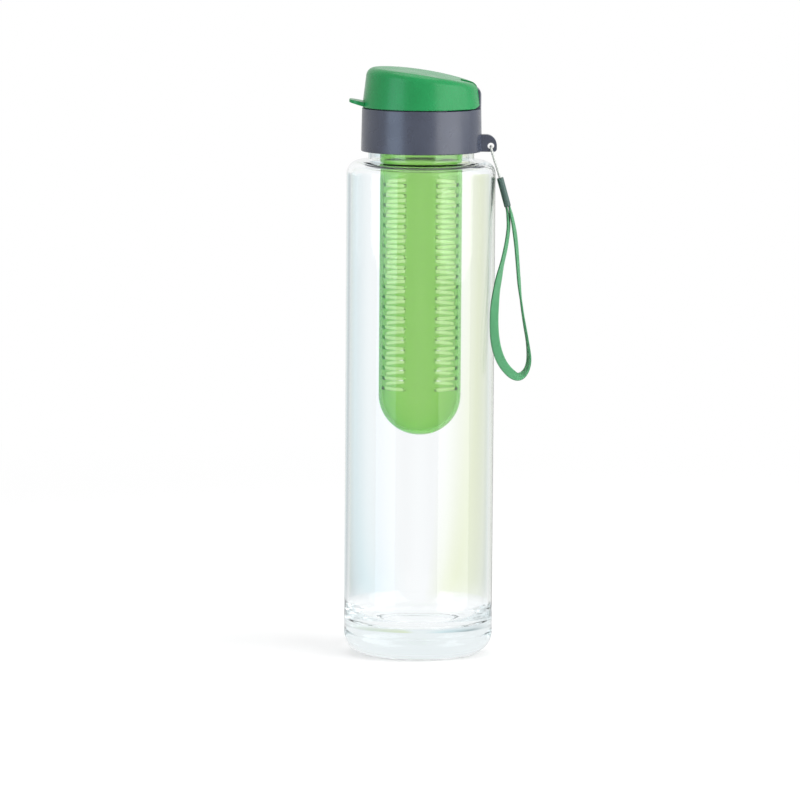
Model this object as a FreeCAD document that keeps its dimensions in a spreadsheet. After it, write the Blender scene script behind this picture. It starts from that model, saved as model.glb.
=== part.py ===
# Fruit infuser water bottle: a clear bottle, a screw collar with a flip lid over a drinking spout,
# a slotted infuser that screws up into the collar, and a wrist strap on the collar's lug.
# The bottle stands on the origin with +Z up. The lid's thumb tab points to -X, and the hinge and the
# strap lug to +X. All sizes are in millimetres.

import FreeCAD, Part
import math
import os
from types import SimpleNamespace

import Sketcher
from FreeCAD import Placement, Rotation, Vector

SIZES = {
    # Bottle
    "body_diameter": 76.0,
    "body_wall": 2.0,
    "shoulder_height": 253.0,
    "shoulder_round": 6.5,
    "base_round": 11.0,
    "floor_height": 15.5,
    "floor_round": 11.5,
    "punt_depth": 6.0,
    "punt_radius": 23.0,
    "punt_flat": 16.1,
    "punt_round": 13.8,
    "foot_round": 1.5,
    "neck_diameter": 54.0,
    "neck_wall": 2.2,
    "neck_height": 22.3,
    "neck_fillet": 1.5,
    "rim_round": 0.7,
    # Screw threads
    "cap_pitch": 5.0,
    "cap_turns": 1.75,
    "cap_thread_depth": 1.5,
    "cap_thread_start": 8.7,
    "infuser_pitch": 4.0,
    "infuser_turns": 1.5,
    "infuser_thread_depth": 1.2,
    "infuser_thread_start": 2.6,
    "thread_sink": 0.3,
    # Collar
    "cap_diameter": 61.6,
    "cap_gap": 4.8,
    "cap_height": 22.0,
    "cap_wall": 1.9,
    "cap_draft": 0.45,
    "edge_round": 0.5,
    "deck_thickness": 2.2,
    "skirt_inner": 22.6,
    "skirt_wall": 1.8,
    "skirt_height": 16.0,
    "bead_radius": 27.4,
    "bead_width": 1.4,
    "bead_height": 2.2,
    "hinge_offset": 25.3,
    "hinge_rise": 6.3,
    "barrel_radius": 5.1,
    "tower_width": 12.0,
    "pin_diameter": 2.5,
    "pin_length": 18.0,
    "pin_play": 0.08,
    "lug_reach": 7.6,
    "lug_height": 8.7,
    "lug_width": 5.6,
    "lug_round": 5.5,
    "lug_toe_round": 1.5,
    "eye_diameter": 3.4,
    "eye_offset": 35.4,
    "eye_rise": 2.9,
    "cord_drop": 0.5,
    # Seals
    "seal_thickness": 2.0,
    "seal_play": 0.3,
    "seal_gap": 0.05,
    "seal_round": 0.4,
    # Spout and stopper
    "spout_offset": 8.0,
    "spout_bore": 16.0,
    "spout_wall": 2.0,
    "spout_height": 11.2,
    "flange_radius": 12.2,
    "flange_thickness": 1.6,
    "washer_thickness": 0.8,
    "hole_play": 0.2,
    "lip_height": 1.6,
    "lip_reach": 0.8,
    "spout_root_round": 1.0,
    "spout_rim_round": 0.9,
    "spout_mouth_round": 0.7,
    "stopper_depth": 3.0,
    "stopper_play": 0.5,
    "stopper_taper": 0.9,
    "stopper_gap": 0.25,
    "disc_thickness": 1.9,
    "stub_height": 1.8,
    "socket_wall": 1.6,
    "socket_play": 0.1,
    # Lid
    "lid_diameter": 60.6,
    "lid_gap": 0.4,
    "lid_wall": 2.0,
    "lid_draft": 0.12,
    "lid_crest_height": 19.6,
    "lid_crown_radius": 275.0,
    "lid_front_slope": 0.03,
    "lid_rear_slope": 0.265,
    "lid_round": 4.5,
    "cheek_play": 0.4,
    "cheek_plate": 2.6,
    "cheek_radius": 5.9,
    "tab_reach": 6.6,
    "tab_width": 15.0,
    "tab_tip_thickness": 1.5,
    "tab_root_thickness": 2.3,
    "tab_rise": 2.2,
    "tab_round": 5.0,
    # Infuser
    "infuser_diameter": 42.0,
    "infuser_wall": 1.8,
    "infuser_length": 162.8,
    "slot_height": 1.8,
    "slot_width": 15.5,
    "slot_pitch": 5.2,
    "slot_rows": 21,
    "slot_first": 24.0,
    # Strap
    "cord_diameter": 1.4,
    "ferrule_length": 15.0,
    "ferrule_width": 7.0,
    "ferrule_thickness": 3.4,
    "ferrule_lean": 15.5,
    "ferrule_round": 1.36,
    "ferrule_end_round": 0.34,
    "ferrule_offset": 40.2,
    "ferrule_top": 244.3,
    "strap_width": 5.0,
    "strap_thickness": 1.2,
    "strap_gap": 0.3,
    "strap_lead": 6.5,
    "cord_lead": 4.5,
    "cord_spread": 1.1,
}

# A thread ridge's width at its root and at its crest, as shares of the pitch
THREAD_ROOT = 0.44
THREAD_CREST = 0.2
# Far enough to pass right through any piece
FAR = 90.0
# The lid's solids are this tall before their slanted top is cut
LID_STOCK = 30.0
# The tangents of the lid's arched top run this far each way from the axis, as a share of its diameter
TOP_REACH = 0.75
# The lid's slanted rim rises more than this, and a level edge less than that
RIM_LEAST_RISE = 1.0
LEVEL_TOLERANCE = 0.01
# Two rounded corners that share a short side take this much of it, so that a sliver of it stays
NEARLY_WHOLE = 0.98
# Each bend of a route takes this share of the shorter run beside it
BEND_SHARE = 0.45
# The slots' first cut lies this many degrees from the X axis, and the second a quarter turn on. Each
# goes through both walls, so that two cuts make four columns.
SLOT_TURN = 45.0
QUARTER_TURN = 90.0

# The strap's hand-placed route, down its near leg and up its far leg, between the two runs that leave
# the ferrule in line with it.
STRAP_ROUTE = [
    (43.9, -3.5, 211.0),
    (41.0, -8.4, 199.0),
    (38.4, -13.2, 187.0),
    (37.3, -16.4, 173.5),
    (38.2, -17.2, 160.0),
    (42.4, -15.0, 149.2),
    (50.2, -9.6, 142.0),
    (55.9, -4.2, 147.8),
    (55.4, -0.4, 158.5),
    (52.7, 1.5, 172.5),
    (50.7, 2.2, 187.0),
    (49.6, 2.2, 200.5),
    (48.6, 1.3, 212.5),
]
# Where the cord's near leg passes the lug's face. Its far leg mirrors it.
CORD_PASS = (36.6, -4.0, 255.4)


class Size:
    """A length in millimetres, with the sheet expression that works it out."""

    def __init__(self, value, text):
        self.value = value
        self.text = text

    def joined(self, other, sign, value):
        return Size(value, f"({self.text} {sign} {text_of(other)})")

    def __add__(self, other):
        return self.joined(other, "+", self.value + value_of(other))

    def __sub__(self, other):
        return self.joined(other, "-", self.value - value_of(other))

    def __mul__(self, other):
        return self.joined(other, "*", self.value * value_of(other))

    def __truediv__(self, other):
        return self.joined(other, "/", self.value / value_of(other))

    def __neg__(self):
        return Size(-self.value, f"(0 - {self.text})")


def value_of(size):
    return size.value if isinstance(size, Size) else float(size)


def text_of(size):
    return size.text if isinstance(size, Size) else str(size)


def make_sheet(document):
    """Puts each driving dimension in a cell with an alias, and returns them by name."""
    sheet = document.addObject("Spreadsheet::Sheet", "Sizes")
    for row, (alias, value) in enumerate(SIZES.items(), start=1):
        sheet.set(f"A{row}", str(value))
        sheet.setAlias(f"A{row}", alias)
    document.recompute()
    return SimpleNamespace(**{alias: Size(sheet.get(alias), f"Sizes.{alias}") for alias in SIZES})


doc = FreeCAD.newDocument("InfuserBottle")
size = make_sheet(doc)

# Radii and heights that several pieces share
body_radius = size.body_diameter / 2
neck_radius = size.neck_diameter / 2
neck_inner = neck_radius - size.neck_wall
rim_height = size.shoulder_height + size.neck_height
cap_radius = size.cap_diameter / 2
cap_inner = cap_radius - size.cap_wall
cap_bottom = size.shoulder_height + size.cap_gap
cap_top = cap_bottom + size.cap_height
deck_under = cap_top - size.deck_thickness
skirt_outer = size.skirt_inner + size.skirt_wall
skirt_bottom = cap_top - size.skirt_height
hinge_height = cap_top + size.hinge_rise
eye_height = cap_bottom + size.eye_rise
lid_radius = size.lid_diameter / 2
lid_bottom = cap_top + size.lid_gap
infuser_radius = size.infuser_diameter / 2
infuser_top = deck_under - size.seal_thickness - size.seal_play
infuser_bottom = infuser_top - size.infuser_length
spout_inner = size.spout_bore / 2
spout_radius = spout_inner + size.spout_wall
spout_top = cap_top + size.spout_height
disc_top = spout_top + size.stopper_gap + size.disc_thickness
pin_radius = size.pin_diameter / 2
# The gap in the lid that the hinge tower stands in
tower_gap_near = size.hinge_offset - size.barrel_radius - size.cheek_play
tower_gap_half = size.tower_width / 2 + size.cheek_play


def bind(thing, prop, amount):
    thing.setExpression(prop, text_of(amount))


def new_body(label):
    body = doc.addObject("PartDesign::Body", label)
    body.Label = label
    return body


def new_sketch(body, name, plane="XZ_Plane", height=None, turn=0):
    """A sketch on one of the body's own planes. On XZ its y runs up, and on XY it sits at a height."""
    sketch = body.newObject("Sketcher::SketchObject", name)
    base = [feature for feature in body.Origin.OriginFeatures if feature.Role == plane][0]
    sketch.AttachmentSupport = [(base, "")]
    sketch.MapMode = "FlatFace"
    if turn:
        sketch.AttachmentOffset = Placement(Vector(0, 0, 0), Rotation(Vector(0, 1, 0), turn))
    if height is not None:
        bind(sketch, "AttachmentOffset.Base.z", height)
    return sketch


def pin_vertex(sketch, shape, vertex, x, y):
    """Ties a sketch vertex to its place, given by two sizes."""
    for kind, amount in (("DistanceX", x), ("DistanceY", y)):
        number = sketch.addConstraint(
            Sketcher.Constraint(kind, -1, 1, shape, vertex, value_of(amount))
        )
        if isinstance(amount, Size):
            bind(sketch, f"Constraints[{number}]", amount)


def draw_circle(sketch, x, y, radius):
    centre = Vector(value_of(x), value_of(y), 0)
    shape = sketch.addGeometry(Part.Circle(centre, Vector(0, 0, 1), value_of(radius)))
    pin_vertex(sketch, shape, 3, x, y)
    number = sketch.addConstraint(Sketcher.Constraint("Radius", shape, value_of(radius)))
    bind(sketch, f"Constraints[{number}]", radius)


def corner_arc(before, corner, after, radius):
    """The arc that rounds a corner: its circle, its two angles, its two ends and whether it turns left."""
    back = (before - corner).normalize()
    ahead = (after - corner).normalize()
    half_angle = back.getAngle(ahead) / 2
    reach = radius / math.tan(half_angle)
    centre = corner + (back + ahead).normalize() * (radius / math.sin(half_angle))
    first = corner + back * reach
    last = corner + ahead * reach
    turns_left = back.cross(ahead).z < 0
    start, end = (first, last) if turns_left else (last, first)
    start_angle = math.atan2(start.y - centre.y, start.x - centre.x)
    end_angle = math.atan2(end.y - centre.y, end.x - centre.x)
    if end_angle < start_angle:
        end_angle += 2 * math.pi
    circle = Part.Circle(centre, Vector(0, 0, 1), radius)
    return Part.ArcOfCircle(circle, start_angle, end_angle), first, last, turns_left


def draw_outline(sketch, corners):
    """A closed outline through corners of (x, y) or (x, y, rounding radius), all tied to the sheet."""
    places = [Vector(value_of(corner[0]), value_of(corner[1]), 0) for corner in corners]
    count = len(corners)
    arcs = {}
    for index, corner in enumerate(corners):
        if len(corner) == 3:
            arcs[index] = corner_arc(
                places[index - 1], places[index], places[(index + 1) % count], value_of(corner[2])
            )
    lines = []
    for index in range(count):
        following = (index + 1) % count
        start = arcs[index][2] if index in arcs else places[index]
        end = arcs[following][1] if following in arcs else places[following]
        lines.append(sketch.addGeometry(Part.LineSegment(start, end)))
    for index, corner in enumerate(corners):
        arriving = lines[index - 1]
        leaving = lines[index]
        if index not in arcs:
            sketch.addConstraint(Sketcher.Constraint("Coincident", arriving, 2, leaving, 1))
            pin_vertex(sketch, leaving, 1, corner[0], corner[1])
            continue
        arc, _, _, turns_left = arcs[index]
        bend = sketch.addGeometry(arc)
        first, last = (1, 2) if turns_left else (2, 1)
        sketch.addConstraint(Sketcher.Constraint("Tangent", arriving, 2, bend, first))
        sketch.addConstraint(Sketcher.Constraint("Tangent", leaving, 1, bend, last))
        number = sketch.addConstraint(Sketcher.Constraint("Radius", bend, value_of(corner[2])))
        if isinstance(corner[2], Size):
            bind(sketch, f"Constraints[{number}]", corner[2])
        point = sketch.addGeometry(Part.Point(places[index]), True)
        sketch.addConstraint(Sketcher.Constraint("PointOnObject", point, 1, arriving))
        sketch.addConstraint(Sketcher.Constraint("PointOnObject", point, 1, leaving))
        pin_vertex(sketch, point, 1, corner[0], corner[1])


def revolve(body, name, corners):
    """Turns a half section, with x as the radius, about the body's upright axis."""
    sketch = new_sketch(body, name + "Section")
    draw_outline(sketch, corners)
    feature = body.newObject("PartDesign::Revolution", name)
    feature.Profile = sketch
    feature.ReferenceAxis = (sketch, ["V_Axis"])
    feature.Angle = 360.0
    return feature


def extrude(body, kind, name, sketch, length=None, symmetric=False, flip=False):
    """A pad or a pocket of a sketch. With no length, a pocket goes right through."""
    feature = body.newObject("PartDesign::" + kind, name)
    feature.Profile = sketch
    feature.SideType = "Symmetric" if symmetric else "One side"
    feature.Reversed = flip
    if length is None:
        feature.Type = "ThroughAll"
    else:
        feature.Type = "Length"
        bind(feature, "Length", length)
    return feature


def thread(body, name, root, crest, start, pitch, turns):
    """A trapezoid ridge wound upwards, from a root inside the wall to a crest outside it."""
    root_half = pitch * (THREAD_ROOT / 2)
    crest_half = pitch * (THREAD_CREST / 2)
    sketch = new_sketch(body, name + "Section")
    draw_outline(
        sketch,
        [
            (root, start - root_half),
            (crest, start - crest_half),
            (crest, start + crest_half),
            (root, start + root_half),
        ],
    )
    feature = body.newObject("PartDesign::AdditiveHelix", name)
    feature.Profile = sketch
    feature.ReferenceAxis = (sketch, ["V_Axis"])
    feature.Mode = "pitch-turns-angle"
    feature.LeftHanded = False
    feature.Reversed = False
    bind(feature, "Pitch", pitch)
    bind(feature, "Turns", turns)
    return feature


def round_edges(body, name, radius, wanted):
    """Rounds the edges of the body's last feature that pass a test."""
    doc.recompute()
    base = body.Tip
    names = [f"Edge{number}" for number, edge in enumerate(base.Shape.Edges, start=1) if wanted(edge)]
    feature = body.newObject("PartDesign::Fillet", name)
    feature.Base = (base, names)
    bind(feature, "Radius", radius)
    return feature


# Bottle

def make_bottle():
    """The clear bottle: thick base with a push-up, straight wall, rounded shoulder, threaded neck."""
    body = new_body("bottle_body")
    inner_radius = body_radius - size.body_wall
    shoulder_under = size.shoulder_height - size.neck_wall
    revolve(
        body,
        "Shell",
        [
            (0, size.punt_depth),
            (size.punt_flat, size.punt_depth, size.punt_round),
            (size.punt_radius, 0, size.foot_round),
            (body_radius, 0, size.base_round),
            (body_radius, size.shoulder_height, size.shoulder_round),
            (neck_radius, size.shoulder_height, size.neck_fillet),
            (neck_radius, rim_height, size.rim_round),
            (neck_inner, rim_height, size.rim_round),
            (neck_inner, shoulder_under, size.neck_fillet + size.neck_wall),
            (inner_radius, shoulder_under, size.shoulder_round - size.body_wall),
            (inner_radius, size.floor_height, size.floor_round),
            (0, size.floor_height),
        ],
    )
    thread(
        body,
        "NeckThread",
        neck_radius - size.thread_sink,
        neck_radius + size.cap_thread_depth,
        size.shoulder_height + size.cap_thread_start,
        size.cap_pitch,
        size.cap_turns,
    )
    return body


# Collar

def make_collar():
    """The screw collar: outer wall, deck, infuser skirt, lid bead, hinge tower and strap lug."""
    body = new_body("cap_collar")
    bead_inner = size.bead_radius - size.bead_width
    bead_top = cap_top + size.bead_height
    upper_radius = cap_radius - size.cap_draft
    revolve(
        body,
        "Shell",
        [
            (cap_radius, cap_bottom, size.edge_round),
            (upper_radius, cap_top, size.edge_round),
            (size.bead_radius, cap_top),
            (size.bead_radius, bead_top, size.edge_round),
            (bead_inner, bead_top, size.edge_round),
            (bead_inner, cap_top),
            (0, cap_top),
            (0, deck_under),
            (size.skirt_inner, deck_under),
            (size.skirt_inner, skirt_bottom, size.edge_round),
            (skirt_outer, skirt_bottom, size.edge_round),
            (skirt_outer, deck_under),
            (cap_inner, deck_under),
            (cap_inner, cap_bottom),
        ],
    )
    cut_bead(body)
    add_tower(body, upper_radius)
    add_lug(body)
    spout_hole = new_sketch(body, "SpoutHole", "XY_Plane", cap_top)
    draw_circle(spout_hole, -size.spout_offset, 0, spout_radius - size.hole_play)
    extrude(body, "Pocket", "SpoutBore", spout_hole)
    thread(
        body,
        "CapThread",
        cap_inner + size.thread_sink,
        cap_inner - size.cap_thread_depth,
        size.shoulder_height + size.cap_thread_start - size.cap_pitch / 2,
        size.cap_pitch,
        size.cap_turns,
    )
    thread(
        body,
        "SkirtThread",
        size.skirt_inner + size.thread_sink,
        size.skirt_inner - size.infuser_thread_depth,
        skirt_bottom + size.infuser_thread_start - size.infuser_pitch / 4,
        size.infuser_pitch,
        size.infuser_turns,
    )
    return body


def cut_bead(body):
    """The bead that centres the lid stops short of the hinge."""
    sketch = new_sketch(body, "BeadGap", "XY_Plane", cap_top)
    near = size.hinge_offset / 2
    draw_outline(sketch, [(near, -FAR), (FAR, -FAR), (FAR, FAR), (near, FAR)])
    extrude(body, "Pocket", "BeadCut", sketch, size.bead_height * 2, flip=True)


def add_tower(body, upper_radius):
    """The hinge tower: a barrel about the pin on a foot on the deck, trimmed to the round wall."""
    near = size.hinge_offset - size.barrel_radius
    far = size.hinge_offset + size.barrel_radius
    foot = cap_top - size.deck_thickness / 2
    top = hinge_height + size.barrel_radius
    crown = size.barrel_radius * NEARLY_WHOLE
    sketch = new_sketch(body, "TowerSide")
    draw_outline(sketch, [(near, foot), (far, foot), (far, top, crown), (near, top, crown)])
    extrude(body, "Pad", "Tower", sketch, size.tower_width, symmetric=True)
    trim = new_sketch(body, "TowerTrim", "XY_Plane", foot)
    draw_circle(trim, 0, 0, upper_radius)
    draw_circle(trim, 0, 0, upper_radius * 2)
    extrude(body, "Pocket", "TowerTrimCut", trim, FAR, flip=True)
    bore = new_sketch(body, "PinBore")
    draw_circle(bore, size.hinge_offset, hinge_height, pin_radius)
    extrude(body, "Pocket", "PinBoreCut", bore, symmetric=True)


def add_lug(body):
    """The strap lug: a small ear low on the wall, with an eye across it."""
    root = cap_radius - size.cap_wall / 2
    tip = cap_radius + size.lug_reach
    top = cap_bottom + size.lug_height
    sketch = new_sketch(body, "LugSide")
    draw_outline(
        sketch,
        [(root, cap_bottom), (tip, cap_bottom, size.lug_toe_round), (tip, top, size.lug_round), (root, top)],
    )
    extrude(body, "Pad", "Lug", sketch, size.lug_width, symmetric=True)
    eye = new_sketch(body, "LugEye")
    draw_circle(eye, size.eye_offset, eye_height, size.eye_diameter / 2)
    extrude(body, "Pocket", "LugEyeCut", eye, size.lug_width * 2, symmetric=True)


def make_ring(label, inner, outer):
    """A soft ring under the deck, with rounded edges."""
    body = new_body(label)
    top = deck_under - size.seal_gap
    bottom = deck_under - size.seal_thickness
    bend = size.seal_round
    corners = [(inner, bottom, bend), (outer, bottom, bend), (outer, top, bend), (inner, top, bend)]
    revolve(body, "Ring", corners)
    return body


def make_cap_seal():
    """The ring that the bottle's rim presses against the deck, outside the skirt."""
    return make_ring("cap_seal", skirt_outer + size.hole_play, cap_inner - size.seal_play)


def make_infuser_seal():
    """The ring on the infuser's rim, small enough to pass the skirt's thread."""
    return make_ring("infuser_seal", infuser_radius - size.infuser_wall, infuser_radius)


# Spout

def make_spout():
    """The mouthpiece: a tube with a flange above the deck and a snap lip below it."""
    body = new_body("drinking_spout")
    stem = spout_radius - size.hole_play * 2
    flange_under = cap_top + size.washer_thickness
    flange_top = flange_under + size.flange_thickness
    lip_top = deck_under - size.seal_gap
    lip_bottom = lip_top - size.lip_height
    bend = size.edge_round
    revolve(
        body,
        "Tube",
        [
            (spout_inner, lip_bottom, bend),
            (stem, lip_bottom, bend),
            (stem + size.lip_reach, lip_top),
            (stem, lip_top),
            (stem, flange_under),
            (size.flange_radius, flange_under, bend),
            (size.flange_radius, flange_top, bend),
            (spout_radius, flange_top, size.spout_root_round),
            (spout_radius - size.hole_play, spout_top, size.spout_rim_round),
            (spout_inner, spout_top, size.spout_mouth_round),
        ],
    )
    bind(body, "Placement.Base.x", -size.spout_offset)
    return body


def make_spout_seal():
    """The washer under the spout's flange."""
    body = new_body("spout_seal")
    outer = size.flange_radius - size.seal_play
    top = cap_top + size.washer_thickness
    corners = [(spout_radius, cap_top), (outer, cap_top), (outer, top), (spout_radius, top)]
    revolve(body, "Washer", corners)
    bind(body, "Placement.Base.x", -size.spout_offset)
    return body


def make_stopper():
    """The soft stopper: a tapered plug below a sealing disc, and a stub that the lid's socket grips."""
    body = new_body("spout_stopper")
    plug = spout_inner - size.stopper_play
    tip = spout_top - size.stopper_depth
    disc_under = spout_top + size.stopper_gap
    stub_top = disc_top + size.stub_height
    bend = size.edge_round
    revolve(
        body,
        "Plug",
        [
            (0, tip),
            (plug - size.stopper_taper, tip, bend),
            (plug, disc_under),
            (spout_radius, disc_under, bend),
            (spout_radius, disc_top, bend),
            (plug, disc_top),
            (plug, stub_top, bend),
            (0, stub_top),
        ],
    )
    bind(body, "Placement.Base.x", -size.spout_offset)
    return body


# Lid

def cut_slant(body, name, drop):
    """Cuts a lid solid along its arched, slanted top, a given depth below the outside.

    The arch rounds the corner between a front and a rear tangent, which meet above the bottle's axis.
    """
    reach = size.lid_diameter * TOP_REACH
    crest = lid_bottom + size.lid_crest_height - drop
    sketch = new_sketch(body, name + "Side")
    draw_outline(
        sketch,
        [
            (-reach, crest + size.lid_front_slope * reach),
            (0, crest, size.lid_crown_radius - drop),
            (reach, crest - size.lid_rear_slope * reach),
            (reach, lid_bottom + FAR),
            (-reach, lid_bottom + FAR),
        ],
    )
    extrude(body, "Pocket", name, sketch, symmetric=True)


def is_top_rim(edge):
    """The slanted rim of a lid solid: a closed curve that isn't level."""
    return edge.isClosed() and edge.BoundBox.ZLength > RIM_LEAST_RISE


def make_lid_core():
    """The space inside the lid, less the plates at the hinge and the stopper's socket."""
    core = new_body("lid_core")
    inner = lid_radius - size.lid_wall
    bottom = lid_bottom - size.lid_gap
    revolve(
        core,
        "Core",
        [
            (0, bottom),
            (inner, bottom),
            (inner - size.lid_draft * LID_STOCK, bottom + LID_STOCK),
            (0, bottom + LID_STOCK),
        ],
    )
    cut_slant(core, "CoreSlant", size.lid_wall)
    round_edges(core, "CoreRound", size.lid_round - size.lid_wall, is_top_rim)
    plates = new_sketch(core, "Plates", "XY_Plane", bottom)
    near = tower_gap_near - size.lid_wall
    half = tower_gap_half + size.cheek_plate
    draw_outline(plates, [(near, -half), (FAR, -half), (FAR, half), (near, half)])
    extrude(core, "Pocket", "PlateCut", plates, FAR, flip=True)
    socket_inner = spout_inner - size.stopper_play + size.socket_play
    socket = new_sketch(core, "Socket", "XY_Plane", disc_top + size.stopper_gap)
    draw_circle(socket, -size.spout_offset, 0, socket_inner)
    draw_circle(socket, -size.spout_offset, 0, socket_inner + size.socket_wall)
    extrude(core, "Pocket", "SocketCut", socket, FAR, flip=True)
    return core


def make_lid():
    """The flip lid: a drafted shell with a slanted top, cheeks beside the hinge tower and a thumb tab."""
    core = make_lid_core()
    body = new_body("flip_lid")
    revolve(
        body,
        "Shell",
        [
            (0, lid_bottom),
            (lid_radius, lid_bottom, size.edge_round),
            (lid_radius - size.lid_draft * LID_STOCK, lid_bottom + LID_STOCK),
            (0, lid_bottom + LID_STOCK),
        ],
    )
    cut_slant(body, "Slant", 0)
    round_edges(body, "TopRound", size.lid_round, is_top_rim)
    doc.recompute()
    hollow = body.newObject("PartDesign::Boolean", "Hollow")
    hollow.Type = "Cut"
    hollow.setObjects([core])
    cut_hinge(body)
    add_tab(body)
    return body


def cut_hinge(body):
    """The gap for the tower, the cheeks' rounded lower corners and the pin's bore."""
    gap = new_sketch(body, "TowerGap", "XY_Plane", cap_top)
    corners = [
        (tower_gap_near, -tower_gap_half),
        (FAR, -tower_gap_half),
        (FAR, tower_gap_half),
        (tower_gap_near, tower_gap_half),
    ]
    draw_outline(gap, corners)
    extrude(body, "Pocket", "TowerGapCut", gap, FAR, flip=True)
    low = hinge_height - size.cheek_radius
    back = size.hinge_offset + size.cheek_radius
    outside = new_sketch(body, "CheekCorner")
    draw_outline(
        outside,
        [
            (size.hinge_offset, deck_under),
            (size.hinge_offset, low),
            (back, low, size.cheek_radius * NEARLY_WHOLE),
            (back, hinge_height),
            (back + size.cheek_radius, hinge_height),
            (back + size.cheek_radius, deck_under),
        ],
    )
    extrude(body, "Pocket", "CheekCornerCut", outside, symmetric=True)
    bore = new_sketch(body, "PinBore")
    draw_circle(bore, size.hinge_offset, hinge_height, pin_radius + size.pin_play)
    extrude(body, "Pocket", "PinBoreCut", bore, size.pin_length + size.cheek_play, symmetric=True)


def add_tab(body):
    """The thumb tab: a thin lip that tilts up from the front of the lid."""
    root = -(lid_radius - size.lid_wall / 2)
    tip = -(lid_radius + size.tab_reach)
    low = lid_bottom + size.lid_gap
    side = new_sketch(body, "TabSide")
    draw_outline(
        side,
        [
            (root, low),
            (tip, low + size.tab_rise, size.edge_round),
            (tip, low + size.tab_rise + size.tab_tip_thickness, size.edge_round),
            (root, low + size.tab_root_thickness),
        ],
    )
    extrude(body, "Pad", "Tab", side, size.tab_width, symmetric=True)
    corners = new_sketch(body, "TabCorners", "XY_Plane", lid_bottom)
    half = size.tab_width / 2
    shoulder = -(lid_radius + size.lid_gap)
    outer = tip - size.tab_round
    draw_outline(
        corners,
        [
            (shoulder, half),
            (tip, half, size.tab_round),
            (tip, -half, size.tab_round),
            (shoulder, -half),
            (shoulder, -half * 2),
            (outer, -half * 2),
            (outer, half * 2),
            (shoulder, half * 2),
        ],
    )
    extrude(body, "Pocket", "TabCornerCut", corners, FAR, flip=True)


def make_pin():
    """The steel pin of the hinge, along Y."""
    pin = doc.addObject("Part::Cylinder", "hinge_pin")
    pin.Label = "hinge_pin"
    bind(pin, "Radius", pin_radius)
    bind(pin, "Height", size.pin_length)
    pin.Placement = Placement(Vector(0, 0, 0), Rotation(Vector(1, 0, 0), -90))
    bind(pin, "Placement.Base.x", size.hinge_offset)
    bind(pin, "Placement.Base.y", -size.pin_length / 2)
    bind(pin, "Placement.Base.z", hinge_height)
    return pin


# Infuser

def make_infuser():
    """The infuser: a tube with a round end, an outside thread at the rim and four columns of slots."""
    body = new_body("infuser_basket")
    inner = infuser_radius - size.infuser_wall
    inner_bottom = infuser_bottom + size.infuser_wall
    revolve(
        body,
        "Tube",
        [
            (0, infuser_bottom),
            (infuser_radius, infuser_bottom, infuser_radius * NEARLY_WHOLE),
            (infuser_radius, infuser_top, size.edge_round),
            (inner, infuser_top, size.edge_round),
            (inner, inner_bottom, inner * NEARLY_WHOLE),
            (0, inner_bottom),
        ],
    )
    thread(
        body,
        "RimThread",
        infuser_radius - size.thread_sink,
        infuser_radius + size.infuser_thread_depth,
        skirt_bottom + size.infuser_thread_start + size.infuser_pitch / 4,
        size.infuser_pitch,
        size.infuser_turns,
    )
    slot = new_sketch(body, "Slot", turn=SLOT_TURN)
    half = size.slot_width / 2
    low = infuser_bottom + size.slot_first
    high = low + size.slot_height
    bend = size.slot_height / 2 * NEARLY_WHOLE
    draw_outline(slot, [(-half, low, bend), (half, low, bend), (half, high, bend), (-half, high, bend)])
    cut = extrude(body, "Pocket", "SlotCut", slot, symmetric=True)
    upright = [feature for feature in body.Origin.OriginFeatures if feature.Role == "Z_Axis"][0]
    rows = body.newObject("PartDesign::LinearPattern", "SlotRows")
    rows.Direction = (upright, [""])
    rows.Mode = "Spacing"
    bind(rows, "Offset", size.slot_pitch)
    bind(rows, "Occurrences", size.slot_rows)
    columns = body.newObject("PartDesign::PolarPattern", "SlotColumns")
    columns.Axis = (upright, [""])
    columns.Angle = QUARTER_TURN
    columns.Occurrences = 2
    slots = body.newObject("PartDesign::MultiTransform", "Slots")
    slots.Originals = [cut]
    slots.Transformations = [rows, columns]
    body.Tip = slots
    return body


# Strap

def route_wire(label, points):
    """Straight runs joined by tangent arcs, each as large as its two runs allow."""
    edges = []
    radii = []
    start = points[0]
    for before, corner, after in zip(points, points[1:], points[2:]):
        back = (before - corner).normalize()
        ahead = (after - corner).normalize()
        half_turn = (math.pi - back.getAngle(ahead)) / 2
        reach = BEND_SHARE * min(before.distanceToPoint(corner), after.distanceToPoint(corner))
        radius = reach / math.tan(half_turn)
        bisector = (back + ahead).normalize()
        nearest = corner + bisector * (radius / math.cos(half_turn) - radius)
        entry = corner + back * reach
        leave = corner + ahead * reach
        edges.append(Part.LineSegment(start, entry).toShape())
        edges.append(Part.Arc(entry, nearest, leave).toShape())
        radii.append(round(radius, 1))
        start = leave
    edges.append(Part.LineSegment(start, points[-1]).toShape())
    print(label, "bend radii:", radii)
    return Part.Wire(edges)


def swept(label, path, section, area):
    """A solid swept along a path, checked against its section times its length."""
    feature = doc.addObject("Part::Feature", label)
    feature.Label = label
    feature.Shape = path.makePipeShell([section], True, False)
    ratio = feature.Shape.Volume / (area * path.Length)
    print(label, "length", round(path.Length, 1), "volume against section times length", round(ratio, 4))
    feature.Placement = Placement()
    return feature


ferrule_turn = Rotation(Vector(0, 1, 0), -size.ferrule_lean.value)
ferrule_down = ferrule_turn.multVec(Vector(0, 0, -1))
ferrule_across = ferrule_turn.multVec(Vector(1, 0, 0))
ferrule_head = Vector(size.ferrule_offset.value, 0, size.ferrule_top.value)
ferrule_tail = ferrule_head + ferrule_down * size.ferrule_length.value


def is_level(edge):
    """An edge that lies in a level plane."""
    return edge.BoundBox.ZLength < LEVEL_TOLERANCE


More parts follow.
